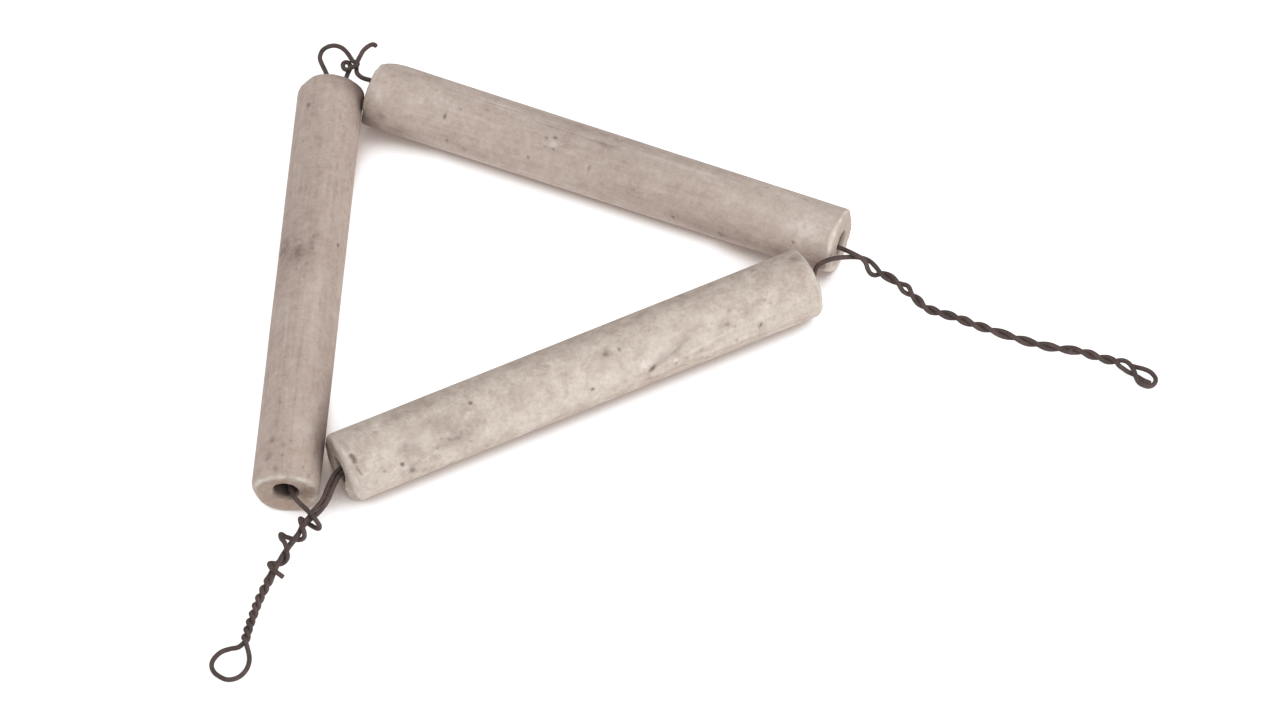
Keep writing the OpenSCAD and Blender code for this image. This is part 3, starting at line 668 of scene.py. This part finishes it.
WRAP = [
    [-45.8, -22.5, 3.6], [-45.4, -23.1, 3.8], [-44.8, -23.9, 4], [-44.1, -24.8, 4.1],
    [-43.6, -25.4, 3.9], [-43.2, -25.8, 3.3], [-43.4, -25.8, 2.8], [-44.1, -25.1, 2.3],
    [-44.8, -24.3, 1.9], [-45.2, -24.1, 2.1], [-45.5, -24.5, 3], [-45.4, -25.6, 4],
    [-45.1, -26.7, 4.3], [-44.9, -27.1, 3.8], [-45, -27.1, 2.9], [-45.4, -26.7, 1.9],
    [-46, -26.6, 1.7], [-46.6, -26.6, 2], [-47.2, -26.7, 2.5], [-47.7, -26.6, 2.9],
    [-47.6, -27.5, 3.3], [-47.2, -28.4, 3.9], [-46.9, -29.2, 4], [-46.8, -29.8, 3.8],
    [-46.8, -29.8, 2.7], [-47.2, -29.8, 1.8], [-47.7, -29.9, 1.5], [-48.3, -29.8, 1.5],
    [-48.9, -30.3, 2.2], [-48.6, -31.6, 3.2], [-47.9, -32.5, 3.6], [-47.2, -32.8, 3.1],
]
HOOK = [
    [-38.7, 45.4, 5.2], [-39, 45.7, 5.2], [-39.6, 45.4, 5.2], [-40.2, 44.8, 5.1],
    [-40.5, 44.1, 5.1], [-40.8, 43.4, 5], [-41, 42.7, 4.9], [-41, 42, 4.8],
    [-40.9, 41.4, 4.7], [-40.4, 40.9, 4.6], [-39.9, 40.7, 4.5], [-39.3, 40.6, 4.4],
]
TOP_BORE = [by_tube("top_tube", *p) for p in (
    (-31.7, 1.25, 0.1), (-30.9, 0.75, 0.1), (-27.8, 0.2), (-15.6,), (15.6,), (27.6, -0.5, 0.1), (30.6, -0.95, 0.1))]
TOP_LEAD = [
    [18.4, 14.1, 4.4], [19.1, 13.3, 4.9], [19.9, 12.7, 5], [20.6, 12.3, 4.8],
    [21, 12, 4.3], [21.2, 11.5, 3.9], [21.6, 10.9, 3.7], [22.2, 10.8, 3.6],
]
TOP_END = [
    [50.8, -1.5, 1.9], [51.3, -1.7, 1.6], [51.8, -2, 1.4], [52.6, -2.3, 1.2],
    [53.6, -3.1, 1.2], [54.4, -3.6, 1.3],
]
RIGHT_EYE = [
    [52.3, -0.9, 1.1], [53, -1.2, 1.2], [53.8, -1.7, 1.5], [54.5, -2.3, 1.7],
    [55, -3.2, 1.8], [54.9, -4, 1.9], [54.4, -4.5, 1.9], [53.8, -4.5, 1.9],
    [53.1, -4.1, 1.9], [52.7, -3.4, 2], [52.6, -2.7, 2], [52.4, -2, 2],
    [52.1, -1.3, 1.9], [51.6, -0.8, 1.9], [50.9, -0.6, 1.8],
]
LOWER_LEAD = [
    [22.2, 11.6, 4.1], [21.6, 12.5, 4], [20.9, 13, 4], [20.1, 13.2, 4],
    [19.2, 13.1, 4.2], [18.1, 12.5, 4.9], [17.1, 11.7, 5.7], [16.3, 11.1, 6.1],
    [15.6, 10.8, 6], [15.1, 10.7, 5.5], [14.8, 10.4, 4.9],
]
LOWER_BORE = [by_tube("lower_tube", *p) for p in (
    (31.3, 0.1, 0.2), (27.8,), (15.8,), (-15.8,), (-27.8, 0.1), (-30.2, 0.25, -0.1))]
BORE_END = [by_tube("lower_tube", *p) for p in ((-30.4, -0.45, -0.35), (-29, -0.5, -0.4))]
LEFT_EYE = [
    [-50.9, -41.9, 1.5], [-50.7, -43.1, 1.4], [-51, -44.4, 1.3], [-51.9, -45.4, 1.2],
    [-53.2, -45.7, 1.2], [-54.5, -44.9, 1.2], [-55, -43.9, 1.2], [-54.8, -42.9, 1.2],
    [-54, -42, 1.3], [-52.9, -41.6, 1.4], [-52.1, -41.5, 1.5],
]


def left_route():
    return bends([*KNOT, *RING, *LEFT_BORE, *WRAP])


def top_route():
    s = right_strand(0)
    return [*run_from([*HOOK, *TOP_BORE, *TOP_LEAD], s[0]), *s, *run_to(s[-1], TOP_END)]


def lower_route():
    s = right_strand(1)[::-1]
    a = left_strand(0, 0.3, 32)
    b = left_strand(1, 0.3, 32)[::-1]
    return [
        *run_from(RIGHT_EYE, s[0]), *s, *between(s[-1], [*LOWER_LEAD, *LOWER_BORE], a[0]),
        *a, *between(a[-1], LEFT_EYE, b[0]), *b, *run_to(b[-1], BORE_END)]


def even(route, step):
    """The route again, with points at an even spacing."""
    Q = np.array(route, float)
    keep = [0]
    for i in range(1, len(Q)):
        if np.linalg.norm(Q[i] - Q[keep[-1]]) > 1e-4:
            keep.append(i)
    Q = Q[keep]
    d = np.r_[0, np.cumsum(np.linalg.norm(np.diff(Q, axis=0), axis=1))]
    n = max(8, int(d[-1] / step))
    s = np.linspace(0, d[-1], n)
    out = np.stack([np.interp(s, d, Q[:, c]) for c in range(3)], 1)
    # two light passes take the corners off the straight chords
    for _ in range(2):
        out[1:-1] = 0.25 * out[:-2] + 0.5 * out[1:-1] + 0.25 * out[2:]
    return out


def wire_mesh(name, route, seed):
    P = even(route, 0.13)
    n, m = len(P), 16
    T = np.gradient(P, axis=0)
    T /= np.linalg.norm(T, axis=1)[:, None]
    side = np.zeros_like(P)
    s = unit(np.cross([0, 0, 1], T[0]))
    for i in range(n):
        s = unit(s - (s @ T[i]) * T[i])
        side[i] = s
    up = np.cross(T, side)
    ang = np.linspace(0, 2 * math.pi, m, endpoint=False)
    V = P[:, None] + WIRE_R * (np.cos(ang)[None, :, None] * side[:, None] + np.sin(ang)[None, :, None] * up[:, None])
    flat = V.reshape(-1, 3)
    out = (V - P[:, None]).reshape(-1, 3)
    out /= np.linalg.norm(out, axis=1)[:, None]
    scale = 0.008 * noise(flat, 0.5, seed) + 0.006 * noise(flat, 0.22, seed + 1)
    flaked = np.clip(noise(flat, 0.9, seed + 2) * 1.6 - 0.5, 0, 1)
    flat = flat + out * (scale - 0.008 - 0.012 * flaked)[:, None]
    V = flat.reshape(n, m, 3)
    rings = [V[i] for i in range(n)]
    # cut ends: a small rounded rim, then a nearly flat face
    def cap(ring, centre, outwards):
        return [
            centre + (ring - centre) * 0.93 + outwards * 0.03,
            centre + (ring - centre) * 0.72 + outwards * 0.055,
            centre + (ring - centre) * 0.3 + outwards * 0.05,
        ]
    first = cap(V[0], P[0], -T[0])[::-1]
    final = cap(V[-1], P[-1], T[-1])
    rings = first + rings + final
    centres = [P[0] - T[0] * 0.05, P[-1] + T[-1] * 0.05]
    verts = np.concatenate([np.concatenate(rings), np.array(centres)])
    k = len(rings)
    faces = []
    for i in range(k - 1):
        for q in range(m):
            a, b = i * m + q, i * m + (q + 1) % m
            faces.append((a, b, b + m, a + m))
    c0, c1 = k * m, k * m + 1
    for q in range(m):
        faces.append((c0, (q + 1) % m, q))
        faces.append((c1, (k - 1) * m + q, (k - 1) * m + (q + 1) % m))
    mesh = bpy.data.meshes.new(name)
    mesh.from_pydata([tuple(v * MM) for v in verts], [], faces)
    mesh.validate()
    mesh.polygons.foreach_set("use_smooth", np.ones(len(mesh.polygons), bool))
    mesh.update()
    return mesh


# ------------------------------------------------------------------ materials


class Graph:
    """Short hand for building a node tree."""

    def __init__(self, name):
        self.mat = bpy.data.materials.new(name)
        self.mat.use_nodes = True
        self.nt = self.mat.node_tree
        self.nt.nodes.clear()

    def node(self, kind, **settings):
        n = self.nt.nodes.new(kind)
        for k, v in settings.items():
            setattr(n, k, v)
        return n

    def put(self, socket, value):
        if isinstance(value, bpy.types.NodeSocket):
            self.nt.links.new(value, socket)
        elif value is not None:
            socket.default_value = value

    def math(self, op, a, b=None, clamp=False):
        n = self.node("ShaderNodeMath", operation=op, use_clamp=clamp)
        self.put(n.inputs[0], a)
        if b is not None:
            self.put(n.inputs[1], b)
        return n.outputs[0]

    def mix(self, how, factor, a, b):
        n = self.node("ShaderNodeMix", data_type="RGBA", blend_type=how)
        self.put(n.inputs["Factor"], factor)
        self.put(n.inputs["A"], a)
        self.put(n.inputs["B"], b)
        return n.outputs["Result"]

    def remap(self, value, lo, hi, to_lo=0.0, to_hi=1.0):
        n = self.node("ShaderNodeMapRange")
        self.put(n.inputs["Value"], value)
        n.inputs["From Min"].default_value = lo
        n.inputs["From Max"].default_value = hi
        n.inputs["To Min"].default_value = to_lo
        n.inputs["To Max"].default_value = to_hi
        return n.outputs["Result"]

    def coords(self, stretch=(1.0, 1.0, 1.0), shift=(0.0, 0.0, 0.0)):
        """Object coordinates in millimetres, stretched along each axis."""
        if not hasattr(self, "tc"):
            self.tc = self.node("ShaderNodeTexCoord")
        n = self.node("ShaderNodeMapping")
        n.inputs["Scale"].default_value = tuple(1000.0 * s for s in stretch)
        n.inputs["Location"].default_value = shift
        self.put(n.inputs["Vector"], self.tc.outputs["Object"])
        return n.outputs[0]

    def noise(self, vector, size, detail=3.0, rough=0.55, warp=0.0):
        n = self.node("ShaderNodeTexNoise")
        self.put(n.inputs["Vector"], vector)
        n.inputs["Scale"].default_value = 1.0 / size
        n.inputs["Detail"].default_value = detail
        n.inputs["Roughness"].default_value = rough
        n.inputs["Distortion"].default_value = warp
        return n.outputs["Fac"]

    def attribute(self, name):
        n = self.node("ShaderNodeAttribute", attribute_name=name)
        return n.outputs["Fac"]


def rgb(r, g, b):
    return (r, g, b, 1.0)


def clay_material(name, clean, tint, shift, tones):
    """Unglazed fired clay: grain, mottling, lengthwise drag lines, specks, sooted places, stains and broken edges,
    with painted shade, painted shadows and painted highlights from the tube's masks.
    """
    g = Graph(name)
    here = g.coords(shift=shift)
    drawn = g.coords((0.05, 1.0, 1.0), shift)
    swept = g.coords((0.16, 1.0, 1.0), shift)

    clouds = g.noise(here, 6.0, 3.0, 0.5)
    patches = g.noise(here, 1.9, 4.0, 0.6, 0.4)
    mottled = g.noise(here, 0.8, 4.0, 0.65, 0.2)
    grain = g.noise(here, 0.3, 4.0, 0.7)
    lines = g.noise(drawn, 0.42, 4.0, 0.65)
    bands = g.noise(swept, 1.1, 4.0, 0.6)

    col = g.mix("MIX", g.remap(clouds, 0.36, 0.64), rgb(*clean), rgb(*tint))
    tone = 0.5
    for layer, weight in zip((clouds, patches, mottled, grain, lines, bands), tones):
        tone = g.math("ADD", tone, g.math("MULTIPLY", g.math("SUBTRACT", layer, 0.5), weight))
    col = g.mix("MULTIPLY", 1.0, col, g.mix("MIX", g.math("MAXIMUM", g.math("MINIMUM", tone, 1.0), 0.0),
                                            rgb(0.56, 0.455, 0.42), rgb(1.26, 1.325, 1.335)))

    # scattered dark specks and a few rusty ones
    specks = g.noise(here, 0.36, 2.0, 0.5)
    many = g.noise(here, 2.6, 2.0, 0.5)
    dotted = g.math("MULTIPLY", g.remap(specks, 0.70, 0.78), g.remap(many, 0.40, 0.62))
    col = g.mix("MIX", g.math("MULTIPLY", dotted, 0.55), col, rgb(0.21, 0.165, 0.14))
    rusty = g.noise(g.coords(shift=(shift[0] + 31.0, 7.0, 3.0)), 0.42, 2.0, 0.5)
    col = g.mix("MIX", g.math("MULTIPLY", g.remap(rusty, 0.735, 0.80), 0.5), col, rgb(0.34, 0.21, 0.14))

    # broken and worn places, and painted shade inside the bore
    worn = g.attribute("clay_worn")
    face = g.attribute("clay_face")
    fresh = g.attribute("clay_fresh")
    col = g.mix("MIX", g.math("MULTIPLY", worn, g.remap(mottled, 0.62, 0.40, 0.1, 0.75)), col, rgb(0.80, 0.735, 0.655))
    dirt = g.noise(here, 0.8, 5.0, 0.65)
    col = g.mix("MIX", g.math("MULTIPLY", face, g.remap(dirt, 0.42, 0.62, 0.05, 0.62)), col, rgb(0.40, 0.31, 0.245))
    col = g.mix("MIX", g.math("MULTIPLY", fresh, g.remap(dirt, 0.60, 0.42, 0.15, 0.65)), col, rgb(0.76, 0.69, 0.61))
    # painted shade: near black inside the bore
    bore = g.attribute("clay_bore")
    col = g.mix("MIX", g.math("MULTIPLY", bore, 0.85), col, rgb(0.085, 0.06, 0.048))

    # soot, stains and pale patches where the tube shows them, together with painted shadows among the soot marks, a
    # painted lit band among the pale marks, painted highlights and painted shade in the light and dark lines, and
    # painted shade from the shade table
    # pale patches, and a painted lit band along the lower tube's near side
    col = g.mix("MIX", g.math("MULTIPLY", g.attribute("clay_pale"), 0.75), col, rgb(0.83, 0.765, 0.69))
    col = g.mix("MIX", g.math("MULTIPLY", g.attribute("clay_warm"), 0.75), col, rgb(0.36, 0.235, 0.165))
    # the soot mask holds real soot and painted shadows cast by neighbouring tubes
    soot_and_shade = g.attribute("clay_soot_and_shade")
    soot_and_shade_amount = g.math("MULTIPLY", soot_and_shade, g.remap(grain, 0.3, 0.7, 0.62, 0.95))
    col = g.mix("MIX", soot_and_shade_amount, col, rgb(0.235, 0.165, 0.148))
    # dark lines: scratches, plus painted shade in creases and beside flakes
    col = g.mix("MIX", g.math("MULTIPLY", g.attribute("clay_dark"), 0.85), col, rgb(0.17, 0.125, 0.10))
    # light lines: pale scratches, plus painted highlights: the rim rings and the lit edges of flakes and steps
    col = g.mix("MIX", g.math("MULTIPLY", g.attribute("clay_light"), 0.8), col, rgb(0.86, 0.80, 0.72))
    col = g.mix("MIX", g.math("MULTIPLY", g.attribute("clay_pit"), 0.9), col, rgb(0.115, 0.085, 0.07))
    # painted shade: the shade mask multiplies the colour down where neighbouring tubes shadow the side
    col = g.mix("MULTIPLY", g.attribute("clay_shade"), col, rgb(0.30, 0.265, 0.265))

    shader = g.node("ShaderNodeBsdfPrincipled")
    g.put(shader.inputs["Base Color"], col)
    g.put(shader.inputs["Roughness"], g.remap(mottled, 0.3, 0.7, 0.78, 0.95))
    shader.inputs["Specular IOR Level"].default_value = 0.22

    high = g.math("MULTIPLY", grain, 0.5)
    high = g.math("ADD", high, g.math("MULTIPLY", mottled, 0.9))
    high = g.math("ADD", high, g.math("MULTIPLY", lines, 0.35))
    high = g.math("SUBTRACT", high, g.math("MULTIPLY", dotted, 0.8))
    bump = g.node("ShaderNodeBump")
    bump.inputs["Strength"].default_value = 0.55
    bump.inputs["Distance"].default_value = 0.00006
    g.put(bump.inputs["Height"], high)
    g.put(shader.inputs["Normal"], bump.outputs[0])
    out = g.node("ShaderNodeOutputMaterial")
    g.put(out.inputs["Surface"], shader.outputs[0])
    return g.mat


def iron_material(name, shift):
    """Annealed iron wire under fire scale: near black, with brown rust and thin greyer rubbed places."""
    g = Graph(name)
    here = g.coords(shift=shift)
    wide = g.noise(here, 2.4, 3.0, 0.55)
    flecks = g.noise(here, 0.4, 4.0, 0.65)
    grain = g.noise(here, 0.12, 3.0, 0.6)
    col = g.mix("MIX", g.remap(wide, 0.38, 0.62), rgb(0.084, 0.062, 0.058), rgb(0.126, 0.089, 0.081))
    col = g.mix("MIX", g.math("MULTIPLY", g.remap(flecks, 0.54, 0.72), 0.6), col, rgb(0.175, 0.108, 0.084))
    col = g.mix("MIX", g.math("MULTIPLY", g.remap(flecks, 0.46, 0.30), 0.5), col, rgb(0.055, 0.044, 0.046))
    col = g.mix("MULTIPLY", g.remap(grain, 0.42, 0.72, 0, 0.5), col, rgb(0.6, 0.58, 0.56))
    shader = g.node("ShaderNodeBsdfPrincipled")
    g.put(shader.inputs["Base Color"], col)
    g.put(shader.inputs["Roughness"], g.remap(flecks, 0.3, 0.7, 0.62, 0.85))
    shader.inputs["Specular IOR Level"].default_value = 0.18
    bump = g.node("ShaderNodeBump")
    bump.inputs["Strength"].default_value = 0.5
    bump.inputs["Distance"].default_value = 0.00003
    g.put(bump.inputs["Height"], g.math("ADD", flecks, g.math("MULTIPLY", grain, 0.5)))
    g.put(shader.inputs["Normal"], bump.outputs[0])
    out = g.node("ShaderNodeOutputMaterial")
    g.put(out.inputs["Surface"], shader.outputs[0])
    return g.mat


# ------------------------------------------------------------------ the pieces

CLAY = {
    "left_tube": clay_material(
        "clay_left", (0.585, 0.485, 0.431), (0.548, 0.448, 0.396), (3.0, 1.0, 8.0), (0.3, 0.5, 0.5, 0.45, 0.35, 0.3)),
    "top_tube": clay_material(
        "clay_top", (0.620, 0.528, 0.475), (0.578, 0.484, 0.429), (13.0, 5.0, 2.0), (0.4, 0.6, 0.5, 0.45, 0.3, 0.2)),
    "lower_tube": clay_material(
        "clay_lower", (0.649, 0.572, 0.510), (0.619, 0.535, 0.473), (29.0, 9.0, 5.0), (0.5, 0.9, 0.7, 0.5, 0.1, 0.1)),
}

for node, spec in TUBES.items():
    mesh = clay_mesh(spec["piece"], spec)
    ob = bpy.data.objects.new(spec["piece"], mesh)
    scene.collection.objects.link(ob)
    ob.matrix_world = local_frame(spec)
    mesh.materials.append(CLAY[node])
    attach(ob, spec["body"])
    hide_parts(node)

WIRES = [
    ("left_iron", "left_wire", left_route, 1),
    ("top_iron", "top_wire", top_route, 3),
    ("lower_iron", "lower_wire", lower_route, 5),
]
for piece, node, route, seed in WIRES:
    mesh = wire_mesh(piece, route(), seed)
    ob = bpy.data.objects.new(piece, mesh)
    scene.collection.objects.link(ob)
    mesh.materials.append(iron_material("iron_" + piece, (seed * 11.0, 0.0, seed * 5.0)))
    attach(ob, "wires")
    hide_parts(node)

# ------------------------------------------------------------------ floor and light

floor_mesh = bpy.data.meshes.new("floor")
S = 3.0
floor_mesh.from_pydata([(-S, -S, 0), (S, -S, 0), (S, S, 0), (-S, S, 0)], [], [(0, 1, 2, 3)])
floor = bpy.data.objects.new("floor", floor_mesh)
scene.collection.objects.link(floor)
floor.location = (0, 0, -0.00002)
paper = Graph("floor_paper")
diffuse = paper.node("ShaderNodeBsdfDiffuse")
diffuse.inputs["Color"].default_value = rgb(0.80, 0.81, 0.82)
glow = paper.node("ShaderNodeEmission")
glow.inputs["Color"].default_value = rgb(0.99, 0.995, 1.0)
# painted shade: the ambient occlusion below dims the floor's glow and turns it and the floor's colour warm grey in
# tight gaps between the tubes, a painted contact shadow; the open floor glows evenly white
near = paper.node("ShaderNodeAmbientOcclusion", samples=16)
near.inputs["Distance"].default_value = 0.010
tight = paper.remap(near.outputs["AO"], 0.24, 0.46)
paper.put(glow.inputs["Color"], paper.mix("MIX", tight, rgb(0.99, 0.86, 0.80), rgb(0.99, 0.995, 1.0)))
paper.put(glow.inputs["Strength"], paper.remap(tight, 0.0, 1.0, 0.14, 0.80))
paper.put(diffuse.inputs["Color"], paper.mix("MIX", tight, rgb(0.42, 0.36, 0.33), rgb(0.42, 0.425, 0.43)))
both = paper.node("ShaderNodeAddShader")
paper.put(both.inputs[0], diffuse.outputs[0])
paper.put(both.inputs[1], glow.outputs[0])
end = paper.node("ShaderNodeOutputMaterial")
paper.put(end.inputs["Surface"], both.outputs[0])
floor_mesh.materials.append(paper.mat)


def soft_light(name, azimuth, elevation, distance, size, watts):
    """A square soft light that looks at the triangle. Azimuth 0 is from +X, and -90 is from the camera's side."""
    data = bpy.data.lights.new(name, "AREA")
    data.shape = "SQUARE"
    data.size = size
    data.energy = watts
    data.color = (1.0, 1.0, 1.0)
    ob = bpy.data.objects.new(name, data)
    scene.collection.objects.link(ob)
    a, e = math.radians(azimuth), math.radians(elevation)
    away = Vector((math.cos(e) * math.cos(a), math.cos(e) * math.sin(a), math.sin(e)))
    ob.location = Vector((0, 0, 0)) + away * distance
    ob.rotation_mode = "QUATERNION"
    ob.rotation_quaternion = (-away).to_track_quat("-Z", "Y")
    return ob


soft_light("low_front_right", -30, 8, 1.0, 0.5, 3.5)
soft_light("high_front", -60, 50, 1.0, 0.5, 2.53)
soft_light("high_left", 180, 50, 1.0, 0.5, 2.5)
soft_light("overhead", 0, 80, 1.0, 0.5, 3.0)

world = bpy.data.worlds.new("studio")
scene.world = world
world.use_nodes = True
background = world.node_tree.nodes["Background"]
background.inputs["Color"].default_value = rgb(1.0, 1.0, 1.0)
background.inputs["Strength"].default_value = 0.27
scene.view_settings.view_transform = "Standard"
